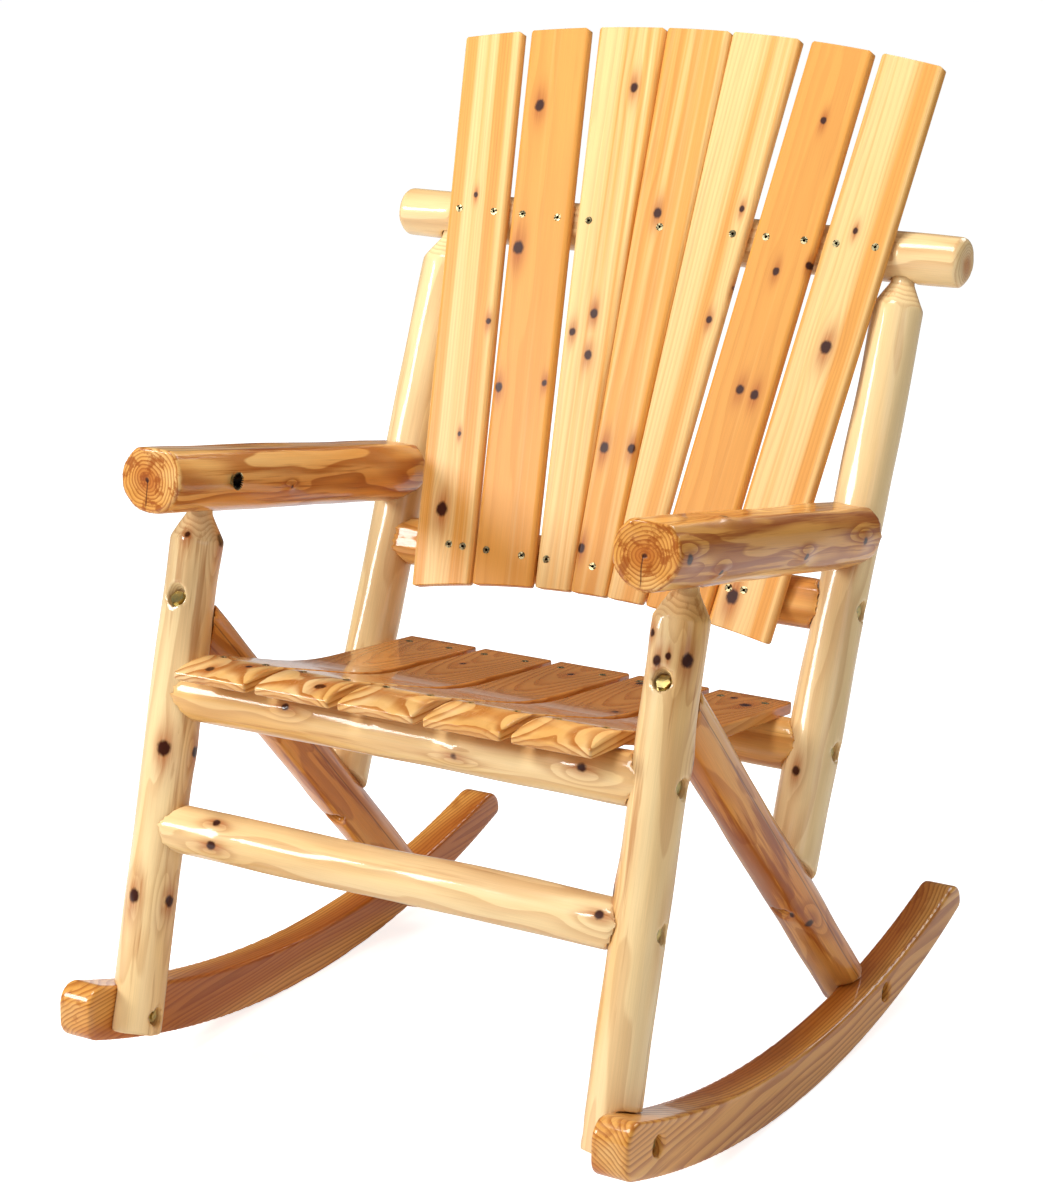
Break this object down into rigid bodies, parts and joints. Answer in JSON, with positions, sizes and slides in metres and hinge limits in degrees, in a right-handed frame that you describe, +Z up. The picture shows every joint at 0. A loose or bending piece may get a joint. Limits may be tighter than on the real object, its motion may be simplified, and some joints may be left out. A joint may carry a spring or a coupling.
{
  "type": "rocking chair",
  "caption": "Log rocking chair with peeled log posts, armrests and braces on sawn rockers, a dished slat seat and a fanned, leaning back of boards.",
  "frame": {"origin": "on the floor under the chair, at the centre of its overall length and width, which is where the rockers touch when it stands still", "axes": "+Z up; -Y the way the chair faces, so +Y is its rear; +X the sitter's left"},
  "size_m": [0.691, 0.843, 1.07],
  "materials": {
    "log_wood": "clear gloss varnish",
    "rocker_wood": "clear gloss varnish",
    "seat_wood": "clear gloss varnish",
    "board_wood": "clear gloss varnish",
    "arm_wood": "clear gloss varnish",
    "brace_wood": "clear gloss varnish",
    "yellow_zinc": "yellow passivated zinc",
    "screw_brass": "brass plated"
  },
  "bodies": {
    "root": {"rocker_left": "rocker_wood", "rocker_right": "rocker_wood", "front_post_left": "log_wood", "front_post_right": "log_wood", "rear_post_left": "log_wood", "rear_post_right": "log_wood", "brace_left": "brace_wood", "brace_right": "brace_wood", "armrest_left": "arm_wood", "armrest_right": "arm_wood", "seat_slat_1": "seat_wood", "seat_slat_2": "seat_wood", "seat_slat_3": "seat_wood", "seat_slat_4": "seat_wood", "seat_slat_5": "seat_wood", "back_board_1": "board_wood", "back_board_2": "board_wood", "back_board_3": "board_wood", "back_board_4": "board_wood", "centre_stave_1": "board_wood", "centre_stave_2": "board_wood", "centre_stave_3": "board_wood", "front_seat_rail": "log_wood", "rear_seat_rail": "log_wood", "front_stretcher": "log_wood", "lower_back_crossbar": "log_wood", "top_crossbar": "log_wood", "front_rail_lags": "yellow_zinc", "stretcher_lags": "yellow_zinc", "rear_rail_lags": "yellow_zinc", "lower_crossbar_lags": "yellow_zinc", "brace_head_lags": "yellow_zinc", "rear_post_foot_lags": "yellow_zinc", "arm_end_lags": "yellow_zinc", "rocker_lap_bolts": "yellow_zinc", "rocker_lap_nuts": "yellow_zinc", "bolt_washers": "yellow_zinc", "tenon_screws": "screw_brass", "seat_screws": "screw_brass", "upper_back_screws": "screw_brass", "lower_back_screws": "screw_brass"}
  },
  "joints": []
}
